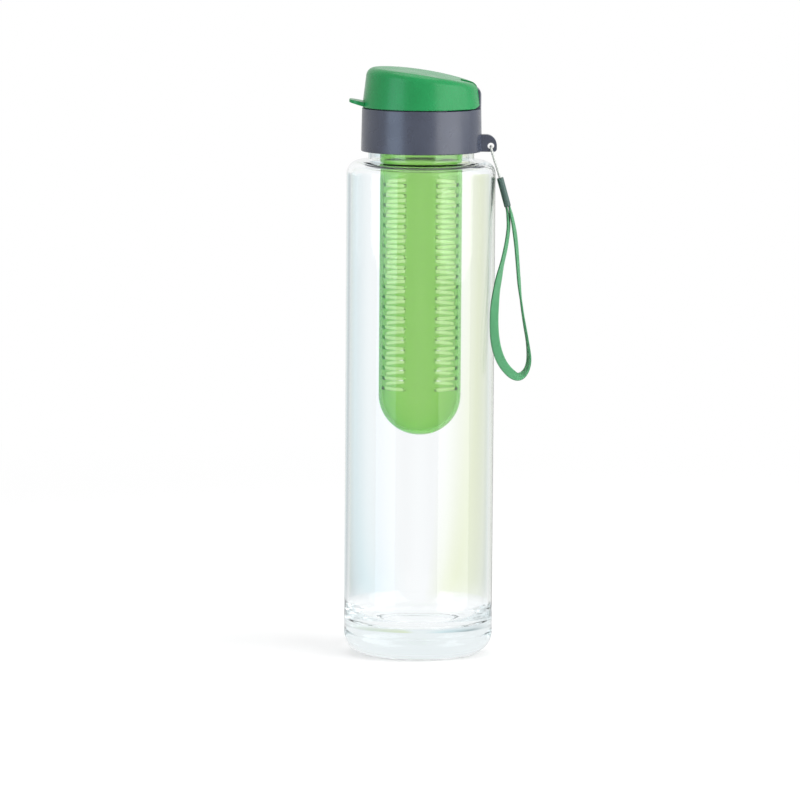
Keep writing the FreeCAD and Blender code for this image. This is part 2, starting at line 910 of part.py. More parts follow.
def make_ferrule():
    """The crimp: a flattened tube with rounded edges, leaning in line with the cord."""
    body = new_body("strap_ferrule")
    half_thick = size.ferrule_thickness / 2
    half_wide = size.ferrule_width / 2
    sketch = new_sketch(body, "Section", "XY_Plane")
    bend = size.ferrule_round
    draw_outline(
        sketch,
        [
            (-half_thick, -half_wide, bend),
            (half_thick, -half_wide, bend),
            (half_thick, half_wide, bend),
            (-half_thick, half_wide, bend),
        ],
    )
    extrude(body, "Pad", "Crimp", sketch, size.ferrule_length, flip=True)
    round_edges(body, "EndRound", size.ferrule_end_round, is_level)
    body.Placement = Placement(ferrule_head, ferrule_turn)
    return body


def make_cord():
    """The cord: from the ferrule up past one face of the lug, through the eye and back down the other."""
    radius = size.cord_diameter.value / 2
    end = ferrule_head - Vector(0, size.cord_spread.value, 0)
    bend = end - ferrule_down * size.cord_lead.value
    beside = Vector(*CORD_PASS)
    top = Vector(size.eye_offset.value, beside.y, eye_height.value - size.cord_drop.value)
    near_leg = [end, bend, beside, top]
    far_leg = [Vector(point.x, -point.y, point.z) for point in reversed(near_leg)]
    path = route_wire("strap_cord", near_leg + far_leg)
    section = Part.Wire(Part.Circle(end, -ferrule_down, radius).toShape())
    return swept("strap_cord", path, section, math.pi * radius * radius)


def make_strap():
    """The webbing: a flat strip that loops down from the ferrule and back up to it."""
    half_wide = size.strap_width.value / 2
    half_thick = size.strap_thickness.value / 2
    apart = half_thick + size.strap_gap.value / 2
    near_end = ferrule_tail - ferrule_across * apart
    far_end = ferrule_tail + ferrule_across * apart
    lead = ferrule_down * size.strap_lead.value
    route = [Vector(*point) for point in STRAP_ROUTE]
    path = route_wire("wrist_strap", [near_end, near_end + lead] + route + [far_end + lead, far_end])
    wide = Vector(0, half_wide, 0)
    thick = ferrule_across * half_thick
    edges = [wide + thick, thick - wide, -wide - thick, wide - thick]
    corners = [near_end + edge for edge in edges]
    section = Part.makePolygon(corners + corners[:1])
    return swept("wrist_strap", path, section, size.strap_width.value * size.strap_thickness.value)


def check_document():
    """Stops if anything in the document failed."""
    for thing in doc.Objects:
        if "Invalid" in thing.State or "Error" in thing.State:
            raise RuntimeError(f"{thing.Name}: {thing.State}")


def main():
    pieces = [
        make_bottle(),
        make_collar(),
        make_cap_seal(),
        make_infuser_seal(),
        make_spout(),
        make_spout_seal(),
        make_stopper(),
        make_lid(),
        make_pin(),
        make_infuser(),
        make_ferrule(),
        make_cord(),
        make_strap(),
    ]
    doc.recompute()
    check_document()
    for piece in pieces:
        shape = piece.Shape
        if shape.isNull() or not shape.isValid() or len(shape.Solids) != 1:
            raise RuntimeError(f"{piece.Label}: not one valid solid")
    os.makedirs("parts", exist_ok=True)
    for piece in pieces:
        piece.Shape.exportStep(f"parts/{piece.Label}.step")
        print(piece.Label, "volume", round(piece.Shape.Volume / 1000, 2), "cm3")


main()
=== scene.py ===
# %% [markdown]
# # A fruit infuser water bottle
# The solids of this bottle come from its CAD model, at their real size and in their real place. This
# lesson gives each of them its finish, weaves the wrist strap and twists its cord, and then lights the
# bottle as a product photographer would. Every length is in metres, and +Z is up.

# %% The frame
import math

import bmesh
import bpy
from mathutils import Matrix, Vector


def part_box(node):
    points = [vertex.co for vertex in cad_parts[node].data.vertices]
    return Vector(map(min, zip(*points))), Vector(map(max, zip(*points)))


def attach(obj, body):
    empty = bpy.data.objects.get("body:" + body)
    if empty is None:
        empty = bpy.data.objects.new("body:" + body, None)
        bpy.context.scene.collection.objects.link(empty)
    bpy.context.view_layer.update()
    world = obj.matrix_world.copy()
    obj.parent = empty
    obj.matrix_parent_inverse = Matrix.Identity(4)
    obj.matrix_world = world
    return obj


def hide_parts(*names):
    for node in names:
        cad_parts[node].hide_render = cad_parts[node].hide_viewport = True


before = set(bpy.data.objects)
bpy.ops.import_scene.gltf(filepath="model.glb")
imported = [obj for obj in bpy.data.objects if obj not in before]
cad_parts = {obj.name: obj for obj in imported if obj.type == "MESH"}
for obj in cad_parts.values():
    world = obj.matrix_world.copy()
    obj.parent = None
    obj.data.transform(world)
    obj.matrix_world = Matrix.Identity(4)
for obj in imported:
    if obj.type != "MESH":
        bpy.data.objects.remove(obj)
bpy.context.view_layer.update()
MM = 0.001
print("pieces in the frame:", sorted(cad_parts))

# %% [markdown]
# ## The camera
# The photograph was taken from about three metres away with a long lens, from a little above the cap,
# so the bottle's sides stay almost parallel. The lens could be tried out until the picture fits. Here it
# follows from the distance and from how wide the body appears, because its real width is in the frame.
# The camera is aimed just below the middle of the bottle and leans by a hair, as the photographer's did.

# %% The camera's lens
scene = bpy.context.scene
CAMERA_DISTANCE = 3.33
PICTURE_WIDTH_PX = 800
BODY_WIDTH_PX = 148.5
SENSOR_MM = 36.0
FAR_CLIP = 100.0
body_low, body_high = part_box("bottle_body")
body_width = body_high.x - body_low.x

camera_data = bpy.data.cameras.new("product_camera")
camera_data.sensor_width = SENSOR_MM
camera_data.lens = SENSOR_MM * CAMERA_DISTANCE * BODY_WIDTH_PX / (body_width * PICTURE_WIDTH_PX)
camera_data.clip_end = FAR_CLIP
print("lens in mm:", round(camera_data.lens, 1))

# %% Placing the camera
CAMERA_RISE = math.radians(6.5)
CAMERA_ROLL = math.radians(0.4)
AIM = Vector((-0.010, 0.0, 0.130))

camera = bpy.data.objects.new("product_camera", camera_data)
scene.collection.objects.link(camera)
toward_camera = Vector((0.0, -math.cos(CAMERA_RISE), math.sin(CAMERA_RISE)))
aim_turn = (-toward_camera).to_track_quat("-Z", "Y").to_matrix().to_4x4()
camera.matrix_world = (
    Matrix.Translation(AIM + toward_camera * CAMERA_DISTANCE)
    @ aim_turn
    @ Matrix.Rotation(CAMERA_ROLL, 4, "Z")
)
scene.camera = camera
scene.view_settings.view_transform = "Standard"
print("camera at:", [round(value, 2) for value in camera.matrix_world.translation])

# %% [markdown]
# ## Following a route
# A strap and a cord are both swept shapes: one small section carried along a smooth line. A bevelled
# curve would do for a plain tube, but it can't twist a flat strap at given places or tell a weave where it
# is.
# So the line is a NURBS curve over a short list of given points, which rounds every corner by
# itself. Blender turns it into a chain of vertices for the sweep to follow.

# %% Reading a smooth line from a few points
CURVE_ORDER = 3


def smooth_line(name, route, steps):
    """The vertices of a NURBS curve that has the route's points as its control points."""
    curve = bpy.data.curves.new(name, "CURVE")
    curve.dimensions = "3D"
    curve.resolution_u = steps
    spline = curve.splines.new("NURBS")
    spline.points.add(len(route) - 1)
    for point, place in zip(spline.points, route):
        point.co = (*place, 1.0)
    spline.order_u = CURVE_ORDER
    spline.use_endpoint_u = True
    holder = bpy.data.objects.new(name, curve)
    scene.collection.objects.link(holder)
    mesh = bpy.data.meshes.new_from_object(holder)
    line = [vertex.co.copy() for vertex in mesh.vertices]
    bpy.data.objects.remove(holder)
    bpy.data.curves.remove(curve)
    bpy.data.meshes.remove(mesh)
    return line


def line_length(line):
    return sum((after - before).length for before, after in zip(line, line[1:]))


# %% [markdown]
# ## Keeping a finished piece
# A mesh is shaped in a bmesh, which is quick to change but isn't part of the scene. Every new piece ends
# in the same way: its faces are shaded smooth, it gets its material and it is linked as an object. The
# object could be moved into place, but a pattern on Object coordinates would then shift with it. So its
# place is in its vertices and the object stays at the origin, as the CAD pieces do.

# %% Keeping a finished piece
def finished_piece(name, bm, material):
    """Turns a bmesh into a smooth-shaded object at the origin."""
    mesh = bpy.data.meshes.new(name)
    for face in bm.faces:
        face.smooth = True
    bm.to_mesh(mesh)
    bm.free()
    mesh.materials.append(material)
    piece = bpy.data.objects.new(name, mesh)
    scene.collection.objects.link(piece)
    print(name, "faces:", len(mesh.polygons))
    return piece


# %% [markdown]
# ## Sweeping a section
# The section is extruded from one vertex of the line to the next, and each ring stands square to it. A
# ring that only followed the one before would roll in the bends. So every ring starts with its width from
# front to back, and any twist is added on purpose. Each vertex notes how far along and across it is, for
# the weave to read.

# %% Standing square to the line
FRONT_TO_BACK = Vector((0.0, 1.0, 0.0))


def square_to_line(line, index, turn):
    """A matrix at one point of the line: x across, y through, z along it, turned about the line."""
    ahead = line[min(index + 1, len(line) - 1)]
    behind = line[max(index - 1, 0)]
    along = (ahead - behind).normalized()
    across = (FRONT_TO_BACK - along * FRONT_TO_BACK.dot(along)).normalized()
    through = along.cross(across)
    axes = Matrix((across, through, along)).transposed().to_4x4()
    return Matrix.Translation(line[index]) @ axes @ Matrix.Rotation(turn, 4, "Z")


# %% Sweeping a section along the line
def next_ring(bm, edges):
    """Extrudes a ring of edges, and gives the vertices and the edges of the new ring."""
    made = bmesh.ops.extrude_edge_only(bm, edges=edges)["geom"]
    verts = [item for item in made if isinstance(item, bmesh.types.BMVert)]
    made_edges = [item for item in made if isinstance(item, bmesh.types.BMEdge)]
    return verts, [edge for edge in made_edges if all(vertex in verts for vertex in edge.verts)]


def sweep(name, line, section, turn_at, material):
    """Extrudes a closed section along a line, and notes on each vertex how far along and across it is."""
    bm = bmesh.new()
    along_layer = bm.verts.layers.float.new("along_mm")
    across_layer = bm.verts.layers.float.new("across_mm")
    place = square_to_line(line, 0, turn_at(0.0))
    ring = [bm.verts.new(place @ Vector((x, y, 0.0))) for x, y in section]
    for vertex, (x, y) in zip(ring, section):
        vertex[across_layer] = x / MM
    first_edges = [bm.edges.new(pair) for pair in zip(ring, ring[1:] + ring[:1])]
    edges = first_edges
    total = line_length(line)
    travelled = 0.0
    for index in range(1, len(line)):
        travelled += (line[index] - line[index - 1]).length
        verts, edges = next_ring(bm, edges)
        target = square_to_line(line, index, turn_at(travelled / total))
        bmesh.ops.transform(bm, matrix=target @ place.inverted(), verts=verts)
        for vertex in verts:
            vertex[along_layer] = travelled / MM
        place = target
    bmesh.ops.contextual_create(bm, geom=first_edges)
    bmesh.ops.contextual_create(bm, geom=edges)
    bmesh.ops.recalc_face_normals(bm, faces=bm.faces)
    return finished_piece(name, bm, material)


# %% [markdown]
# ## Building finishes from nodes
# A finish is a tree of nodes that feeds one shader. It could be wired by hand in the node editor, but a
# script can be read through and run again. Small helpers make a finish, add a node with its settings,
# connect two sockets, spread colours over a value, and give a finish to a CAD piece.

# %% Helpers for nodes
def new_finish(name):
    """A material with one shader, ready for more nodes."""
    material = bpy.data.materials.new(name)
    material.use_nodes = True
    return material, material.node_tree.nodes["Principled BSDF"]


def add_node(material, kind, **settings):
    """A node with its properties and its unlinked inputs set by name."""
    node = material.node_tree.nodes.new(kind)
    for key, value in settings.items():
        if hasattr(node, key):
            setattr(node, key, value)
        else:
            node.inputs[key.replace("_", " ")].default_value = value
    return node


def connect(material, source, target):
    material.node_tree.links.new(source, target)


def colour_ramp(material, value, stops):
    """The colour for a value from 0 to 1, blended between stops of a position and a colour."""
    ramp = add_node(material, "ShaderNodeValToRGB")
    elements = ramp.color_ramp.elements
    while len(elements) < len(stops):
        elements.new(1.0)
    for element, (position, colour) in zip(elements, stops):
        element.position = position
        element.color = (*colour, 1.0)
    connect(material, value, ramp.inputs["Fac"])
    return ramp.outputs["Color"]


def dress(node, material):
    """Gives a CAD node its finish."""
    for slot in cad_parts[node].material_slots:
        slot.material = material
    print(node, "wears", material.name)


# %% [markdown]
# ## Drift, gloss and grain
# A moulded plastic is never one flat colour: its tone drifts a little, its gloss is patchy and its
# surface carries the fine grain of the mould. These could be painted on as pictures, but noise nodes
# need no unwrapping and stay sharp at any distance. They read Object coordinates, so a pattern stays on
# the piece when it moves.

# %% Drift, gloss and grain
# Noise runs from 0 to 1, and most of it lies between these two
NOISE_LOW = 0.3
NOISE_HIGH = 0.7
GRAIN_STRENGTH = 0.5


def object_noise(material, size_mm, detail=2.0):
    """Cloudy noise whose features are about this many millimetres across."""
    place = add_node(material, "ShaderNodeTexCoord")
    noise = add_node(material, "ShaderNodeTexNoise", Scale=1.0 / (size_mm * MM), Detail=detail)
    connect(material, place.outputs["Object"], noise.inputs["Vector"])
    return noise.outputs["Fac"]


def vary_colour(material, shader, tones, size_mm):
    """Lets the base colour drift between two close tones."""
    stops = list(zip((NOISE_LOW, NOISE_HIGH), tones))
    colour = colour_ramp(material, object_noise(material, size_mm), stops)
    connect(material, colour, shader.inputs["Base Color"])


def vary_gloss(material, shader, low, high, size_mm):
    """Lets the roughness drift between two values."""
    span = add_node(material, "ShaderNodeMapRange", To_Min=low, To_Max=high)
    span.inputs["From Min"].default_value = NOISE_LOW
    span.inputs["From Max"].default_value = NOISE_HIGH
    connect(material, object_noise(material, size_mm, detail=4.0), span.inputs["Value"])
    connect(material, span.outputs["Result"], shader.inputs["Roughness"])


def raise_surface(material, shader, height, strength, depth_mm):
    """Shades the surface as if it had this height, at most so deep."""
    bump = add_node(material, "ShaderNodeBump", Strength=strength, Distance=depth_mm * MM)
    connect(material, height, bump.inputs["Height"])
    connect(material, bump.outputs["Normal"], shader.inputs["Normal"])


def add_grain(material, shader, size_mm, depth_mm):
    """Raises a fine grain on the surface."""
    grain = object_noise(material, size_mm, detail=3.0)
    raise_surface(material, shader, grain, GRAIN_STRENGTH, depth_mm)


# %% [markdown]
# ## The clear body
# The body is blown from a clear, stiff plastic. It bends light a little less than glass does, its wall is
# slightly wavy, and it takes a faint cool tint where the eye looks along it, at the sides and through the
# thick base. A tinted surface would colour every part of it alike. Here the tint is absorbed inside the
# wall, so it deepens by itself wherever the plastic is thick.

# %% The clear body
def soak_up(material, colour, density):
    """Lets the plastic absorb what isn't this colour, and more of it where it is thicker."""
    tint = add_node(material, "ShaderNodeVolumeAbsorption", Color=(*colour, 1.0), Density=density)
    output = material.node_tree.nodes["Material Output"]
    connect(material, tint.outputs["Volume"], output.inputs["Volume"])


def clear_plastic():
    material, shader = new_finish("clear_plastic")
    shader.inputs["Base Color"].default_value = (0.985, 0.995, 1.0, 1.0)
    shader.inputs["Transmission Weight"].default_value = 1.0
    shader.inputs["IOR"].default_value = 1.40
    vary_gloss(material, shader, low=0.0, high=0.03, size_mm=30.0)
    add_grain(material, shader, size_mm=28.0, depth_mm=0.03)
    soak_up(material, (0.40, 0.62, 0.66), density=4.0)
    return material


dress("bottle_body", clear_plastic())

# %% [markdown]
# ## Deep light paths
# Light that gets into the thick base or the neck is turned back inside the wall many times before it
# leaves. Blender gives up after a few turns and shows black there. The base could be lit harder, but that
# wouldn't reach a path that has been given up. So the limits are raised until no path that matters is cut.

# %% Deep light paths
CROSSINGS = 24
TURNS_INSIDE = 16
scene.cycles.max_bounces = CROSSINGS
scene.cycles.transmission_bounces = CROSSINGS
scene.cycles.glossy_bounces = TURNS_INSIDE
print("a light path may cross", CROSSINGS, "surfaces and turn back", TURNS_INSIDE, "times")

# %% [markdown]
# ## Lid, collar, spout and crimp
# The lid is a satin green, and the collar and spout are a slate grey with a slightly coarser grain. The
# crimp on the strap is a dull dark green. Each could have a finish of its own. But all four are opaque
# mouldings that differ only in tone, gloss and grain, so one recipe with a few numbers makes them all,
# and they look like one family.

# %% Lid, collar, spout and crimp
TONE_PATCH_MM = 14.0
GLOSS_PATCH_MM = 9.0
SMOOTHER = 0.05
ROUGHER = 0.06
LID_GREENS = ((0.010, 0.255, 0.070), (0.013, 0.283, 0.082))
COLLAR_SLATES = ((0.038, 0.047, 0.076), (0.047, 0.057, 0.090))
FERRULE_GREENS = ((0.040, 0.095, 0.080), (0.055, 0.115, 0.096))
# The piece, its finish, tones and roughness, the grain's size and depth in mm, and how strongly it shines
MOULDINGS = [
    ("flip_lid", "lid_plastic", LID_GREENS, 0.27, 0.4, 0.003, 0.3),
    ("cap_collar", "collar_plastic", COLLAR_SLATES, 0.28, 0.45, 0.010, 0.65),
    ("drinking_spout", "spout_plastic", COLLAR_SLATES, 0.26, 0.5, 0.006, 0.5),
    ("strap_ferrule", "ferrule_plastic", FERRULE_GREENS, 0.38, 0.4, 0.014, 0.5),
]


def moulded_plastic(name, tones, roughness, grain_mm, depth_mm, shine):
    material, shader = new_finish(name)
    vary_colour(material, shader, tones, TONE_PATCH_MM)
    vary_gloss(material, shader, roughness - SMOOTHER, roughness + ROUGHER, GLOSS_PATCH_MM)
    add_grain(material, shader, grain_mm, depth_mm)
    shader.inputs["Specular IOR Level"].default_value = shine
    return material


for moulding, *finish in MOULDINGS:
    dress(moulding, moulded_plastic(*finish))

# %% [markdown]
# ## The infuser
# The infuser is moulded in a bright see-through green. A green surface colour alone would tint it by the
# same step at each wall, whatever the wall's thickness. So the surface carries only a part of the tint,
# and the plastic soaks up the rest of what isn't green. The tube's round edges and its closed end, where
# light passes through more of it, turn deeper by themselves.

# %% The infuser
def tinted_plastic():
    material, shader = new_finish("infuser_plastic")
    shader.inputs["Base Color"].default_value = (0.76, 0.84, 0.58, 1.0)
    shader.inputs["Transmission Weight"].default_value = 0.96
    shader.inputs["IOR"].default_value = 1.22
    vary_gloss(material, shader, low=0.03, high=0.10, size_mm=12.0)
    add_grain(material, shader, size_mm=20.0, depth_mm=0.02)
    soak_up(material, (0.34, 0.91, 0.03), density=290.0)
    return material


dress("infuser_basket", tinted_plastic())

# %% [markdown]
# ## Soft seals and the steel pin
# The sealing rings and the stopper are milky silicone: light sinks a little way in and comes out again.
# Subsurface scattering gives that glow, where a plain pale colour would look like chalk. The hinge pin
# is drawn steel wire, so it is a metal with a fine, uneven gloss.

# %% Seals and pin
SILICONE_TONES = ((0.70, 0.74, 0.73), (0.78, 0.81, 0.80))
STEEL_TONES = ((0.52, 0.53, 0.54), (0.62, 0.63, 0.64))


def milky_silicone():
    material, shader = new_finish("seal_silicone")
    vary_colour(material, shader, SILICONE_TONES, size_mm=6.0)
    vary_gloss(material, shader, low=0.42, high=0.56, size_mm=3.0)
    add_grain(material, shader, size_mm=0.6, depth_mm=0.01)
    shader.inputs["Subsurface Weight"].default_value = 0.35
    shader.inputs["Subsurface Scale"].default_value = 1.5 * MM
    return material


def drawn_steel():
    material, shader = new_finish("pin_steel")
    shader.inputs["Metallic"].default_value = 1.0
    vary_colour(material, shader, STEEL_TONES, size_mm=1.0)
    vary_gloss(material, shader, low=0.22, high=0.34, size_mm=0.4)
    return material


silicone = milky_silicone()
for soft_piece in ("cap_seal", "infuser_seal", "spout_seal", "spout_stopper"):
    dress(soft_piece, silicone)
dress("hinge_pin", drawn_steel())

# %% [markdown]
# ## Arithmetic inside a finish
# The strap's weave is a height that repeats. It could be a picture of cloth, but a picture has to be
# stretched to fit. A few waves, folded and multiplied, give the same height. Math nodes work it out at
# every point of the surface, and one helper writes such a node on one line.

# %% Arithmetic inside a finish
def fill_socket(material, socket, value):
    """Sets a socket to a number, or links it to another socket."""
    if isinstance(value, (int, float)):
        socket.default_value = value
    else:
        connect(material, value, socket)


def calculate(material, operation, *values):
    """One Math node. Each value is a socket or a number."""
    node = add_node(material, "ShaderNodeMath", operation=operation)
    for socket, value in zip(node.inputs, values):
        fill_socket(material, socket, value)
    return node.outputs["Value"]


def attribute_value(material, name):
    node = add_node(material, "ShaderNodeAttribute", attribute_name=name)
    return node.outputs["Fac"]


# %% [markdown]
# ## The woven strap
# The strap is narrow nylon webbing: cords run along it, and the cross yarn passes over and under them
# in turn. A weave on Object coordinates would slide off such a twisted band. The sweep notes how far
# along and across each vertex is, so the weave follows the strap through every twist. Its height is a
# ridge per cord, dented by the cross yarn, one cord out of step with the next.

# %% The webbing's finish
CORD_PITCH_MM = 0.62
YARN_PITCH_MM = 0.95
OUT_OF_STEP = 0.5
YARN_DENT = 0.5
WEAVE_DEPTH_MM = 0.18
WEAVE_STRENGTH = 0.8
# The green with painted shade in the valleys of the weave, and the lighter one with painted highlight on
# its ridges
WEBBING_SHADE_AND_HIGHLIGHT_GREENS = ((0.020, 0.150, 0.055), (0.120, 0.480, 0.210))


def weave_height(material):
    """From 0 in the valleys between the cords to 1 on the ridges."""
    across = calculate(material, "DIVIDE", attribute_value(material, "across_mm"), CORD_PITCH_MM)
    along = calculate(material, "DIVIDE", attribute_value(material, "along_mm"), YARN_PITCH_MM)
    wave = calculate(material, "SINE", calculate(material, "MULTIPLY", across, math.pi))
    ridge = calculate(material, "ABSOLUTE", wave)
    step = calculate(material, "MULTIPLY", calculate(material, "FLOOR", across), OUT_OF_STEP)
    phase = calculate(material, "MULTIPLY", calculate(material, "ADD", along, step), 2 * math.pi)
    yarn = calculate(material, "SINE", phase)
    dent = calculate(material, "MULTIPLY_ADD", yarn, YARN_DENT / 2, 1 - YARN_DENT / 2)
    return calculate(material, "MULTIPLY", ridge, dent)


def woven_webbing():
    material, shader = new_finish("strap_webbing")
    height = weave_height(material)
    raise_surface(material, shader, height, WEAVE_STRENGTH, WEAVE_DEPTH_MM)
    # The colour follows the weave's height: painted shade in the valleys, painted highlight on the ridges
    colour = colour_ramp(material, height, list(zip((0.0, 1.0), WEBBING_SHADE_AND_HIGHLIGHT_GREENS)))
    connect(material, colour, shader.inputs["Base Color"])
    shader.inputs["Roughness"].default_value = 0.62
    shader.inputs["Sheen Weight"].default_value = 0.35
    shader.inputs["Sheen Roughness"].default_value = 0.4
    return material


print("weave in mm:", CORD_PITCH_MM, "across and", YARN_PITCH_MM, "along")

# %% [markdown]
# ## Where the strap hangs
# The strap is one length of webbing. Both of its ends are pressed into the crimp, and the loop between
# them hangs beside the body. A simulation could drop it there, but it wouldn't land as it did for the
# photograph. So its route is a list of given points, the same that the CAD model follows, and
# its ends start where the crimp ends and leave along its lean.

# %% Where the strap hangs
STRAP_WIDTH = 5.0 * MM
STRAP_THICKNESS = 1.2 * MM
STRAP_GAP = 0.3 * MM
STRAP_LEAD = 6.5 * MM
STRAP_STEPS = 12
FERRULE_LEAN = math.radians(15.5)
FERRULE_LENGTH = 15.0 * MM
FERRULE_HEAD = Vector((40.2, 0.0, 244.3)) * MM
STRAP_ROUTE_MM = [
    (43.9, -3.5, 211.0),
    (41.0, -8.4, 199.0),
    (38.4, -13.2, 187.0),
    (37.3, -16.4, 173.5),
    (38.2, -17.2, 160.0),
    (42.4, -15.0, 149.2),
    (50.2, -9.6, 142.0),
    (55.9, -4.2, 147.8),
    (55.4, -0.4, 158.5),
    (52.7, 1.5, 172.5),
    (50.7, 2.2, 187.0),
    (49.6, 2.2, 200.5),
    (48.6, 1.3, 212.5),
]
ferrule_down = Vector((math.sin(FERRULE_LEAN), 0.0, -math.cos(FERRULE_LEAN)))
ferrule_across = Vector((math.cos(FERRULE_LEAN), 0.0, math.sin(FERRULE_LEAN)))
ferrule_tail = FERRULE_HEAD + ferrule_down * FERRULE_LENGTH
strap_apart = (STRAP_THICKNESS + STRAP_GAP) / 2
near_end = ferrule_tail - ferrule_across * strap_apart
far_end = ferrule_tail + ferrule_across * strap_apart
strap_route = (
    [near_end, near_end + ferrule_down * STRAP_LEAD]
    + [Vector(point) * MM for point in STRAP_ROUTE_MM]
    + [far_end + ferrule_down * STRAP_LEAD, far_end]
)
strap_line = smooth_line("strap_line", strap_route, STRAP_STEPS)

# %% [markdown]
# ## How the strap twists
# The two ends leave the crimp side by side, with their width from front to back. Lower down, the near
# leg turns its face to the viewer and the far leg stays nearly edge-on, and below the crimp both turn the
# same way, so that they stay flat against each other. One even twist from end to end couldn't give that.
# So the twist is given at a few places along the strap and eased between them.

# %% How the strap twists
# Share of the strap's length, and the twist there in degrees
STRAP_TWIST = [
    (0.0, 0.0),
    (0.04, 15.0),
    (0.15, 20.0),
    (0.22, 40.0),
    (0.3, 62.0),
    (0.4, 74.0),
    (0.47, 66.0),
    (0.56, 24.0),
    (0.64, 8.0),
    (0.72, 2.0),
    (0.8, -14.0),
    (0.92, -18.0),
    (0.97, -12.0),
    (1.0, 0.0),
]


def eased(stops, share):
    """The value between listed stops, with a soft start and end on each stretch."""
    for (start, low), (end, high) in zip(stops, stops[1:]):
        if share <= end:
            part = (share - start) / (end - start)
            return low + (high - low) * part * part * (3.0 - 2.0 * part)
    return stops[-1][1]


def strap_turn(share):
    return math.radians(eased(STRAP_TWIST, share))


twists = [degrees for share, degrees in STRAP_TWIST]
print("twist of the strap in degrees:", min(twists), "to", max(twists))

# %% [markdown]
# ## The strap's section
# Cut across, the webbing is flat with round edges, and each cord in it raises a rib. The ribs could be
# left to the shading, but then the strap's outline would be smooth. Here they are part of the section, so
# they are real geometry and run the whole way round the loop.

# %% The strap's section
RIB_DEPTH = 0.07 * MM
FACE_STEPS = 24
EDGE_ANGLES = (math.pi / 4, math.pi / 2, 3 * math.pi / 4)


def webbing_section():
    """A flat section with round edges and a rib for each cord: half of it, repeated on the other side."""
    half_width = STRAP_WIDTH / 2
    half_thick = STRAP_THICKNESS / 2
    flat = half_width - half_thick
    face = []
    for step in range(FACE_STEPS + 1):
        x = flat * (2 * step / FACE_STEPS - 1)
        rib = abs(math.sin(math.pi * x / (CORD_PITCH_MM * MM)))
        face.append((x, half_thick - RIB_DEPTH * (1 - rib)))
    edge = [
        (flat + half_thick * math.sin(angle), half_thick * math.cos(angle))
        for angle in EDGE_ANGLES
    ]
    top = face + edge
    return top + [(-x, -y) for x, y in top]


strap_section = webbing_section()
print("points in the strap's section:", len(strap_section))

# %% [markdown]
# ## Sweeping the strap
# The webbing's section, its route and its twist now make one closed band. It takes the place of the plain
# band in the CAD model and moves with the crimp, as the real strap does.

# %% Sweeping the strap
strap = sweep("woven_wrist_strap", strap_line, strap_section, strap_turn, woven_webbing())
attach(strap, "strap")
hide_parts("wrist_strap")

# %% [markdown]
# ## The twisted cord
# A thin white cord ties the strap to the collar. It is laid from three strands. Each strand could be a
# tube of its own, but at this size their gaps would never show. So one section with three lobes stands
# for them all, in a pale fibre with a fine fuzz.

# %% The cord's section and fibre
CORD_DIAMETER = 1.4 * MM
CORD_CORNERS = 24
STRANDS = 3
LOBE_HEIGHT = 0.12
CORD_TONES = ((0.62, 0.66, 0.62), (0.80, 0.82, 0.79))


def cord_section():
    """Three round lobes inside the cord's diameter."""
    outline = []
    for step in range(CORD_CORNERS):
        angle = 2 * math.pi * step / CORD_CORNERS
        lobe = 1 - LOBE_HEIGHT + LOBE_HEIGHT * math.cos(STRANDS * angle)
        radius = CORD_DIAMETER / 2 * lobe
        outline.append((radius * math.cos(angle), radius * math.sin(angle)))
    return outline


def twisted_fibre():
    material, shader = new_finish("cord_fibre")
    vary_colour(material, shader, CORD_TONES, size_mm=0.5)
    add_grain(material, shader, size_mm=0.12, depth_mm=0.03)
    shader.inputs["Roughness"].default_value = 0.75
    shader.inputs["Sheen Weight"].default_value = 0.3
    return material


print("strands in the cord:", STRANDS)

# %% [markdown]
# ## Laying the cord
# Both ends of the cord are held in the crimp, and the bight between them goes through the eye of the
# collar's lug. The rear half mirrors the front, so only one leg is given. The section turns as it
# travels, and that twist is what makes a plain tube read as string.

# %% Laying the cord
CORD_SPREAD = 1.1 * MM
CORD_LEAD = 4.5 * MM
CORD_PASS = Vector((36.6, -4.0, 255.4)) * MM
CORD_TOP = Vector((35.4, -4.0, 260.2)) * MM
CORD_STEPS = 24
LAY_LENGTH = 4.2 * MM


def mirrored(point):
    return Vector((point.x, -point.y, point.z))


cord_end = FERRULE_HEAD - Vector((0.0, CORD_SPREAD, 0.0))
near_leg = [cord_end, cord_end - ferrule_down * CORD_LEAD, CORD_PASS, CORD_TOP]
cord_route = near_leg + [mirrored(point) for point in reversed(near_leg)]
cord_line = smooth_line("cord_line", cord_route, CORD_STEPS)
cord_length = line_length(cord_line)


def cord_turn(share):
    return 2 * math.pi * share * cord_length / LAY_LENGTH


cord = sweep("twisted_strap_cord", cord_line, cord_section(), cord_turn, twisted_fibre())
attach(cord, "strap")
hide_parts("strap_cord")
print("cord length in mm:", round(cord_length / MM, 1))

# %% [markdown]
# ## The cords' length and names
# A strap and a cord are soft, so a viewer of the model has to know what they measure. The cord's length
# is measured on the line that was swept, and not typed in, and the names of both pieces are printed here.

# %% The cords' names
print("declared:", cord.name, "and", strap.name)

# %% [markdown]
# ## Floor and surroundings
# Clear plastic shows whatever stands around it. The usual way to draw its edges is a bright backdrop
# straight behind, with a grey flag on each side of it: the backdrop keeps the body bright, and the wall
# bends the flags into soft lines along its sides. The camera looks down a little, so here they lie on the
# floor, as pale and grey sectors all around the bottle, with the brightest straight behind. The flag at
# the back left is cool and the one at the back right warm. Only see-through surfaces meet them. The floor
# and the background are plain white to the camera, and the floor still takes the bottle's shadow.

# %% The sectors around the bottle
BRIGHT = (1.0, 1.0, 1.0)
PALE = (0.86, 0.88, 0.88)
GREY = (0.50, 0.50, 0.50)
